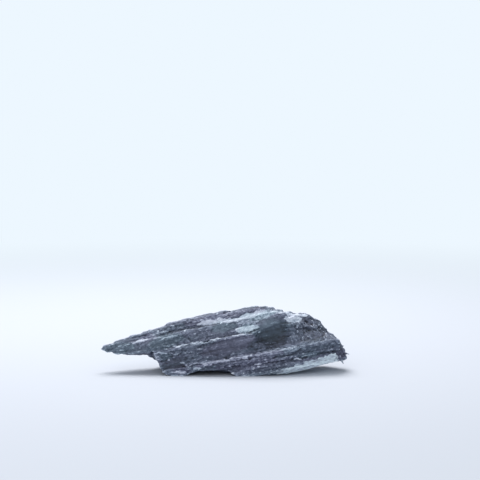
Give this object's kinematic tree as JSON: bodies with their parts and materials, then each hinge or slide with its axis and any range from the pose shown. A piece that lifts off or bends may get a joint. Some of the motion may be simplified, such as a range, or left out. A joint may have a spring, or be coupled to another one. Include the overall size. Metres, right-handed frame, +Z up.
{
  "type": "layered aquarium rock",
  "caption": "Long, low layered grey stone with a thin tail, a rough broken end, ledges along its beds and flat spots underneath to rest on.",
  "frame": {"origin": "on the ground, under the middle of the stone's bounding box in X and Y", "axes": "+X along the stone from its thin tail to its broken end, +Y from its ledged front to its back, +Z up"},
  "size_m": [0.2, 0.0614, 0.0534],
  "materials": {
    "banded_stone": "matt layered stone, blue-grey to purple-grey, with pale specks and streaks along the beds and a pale blue-white vein low on the front"
  },
  "bodies": {
    "root": {"layered_rock": "banded_stone"}
  },
  "joints": []
}
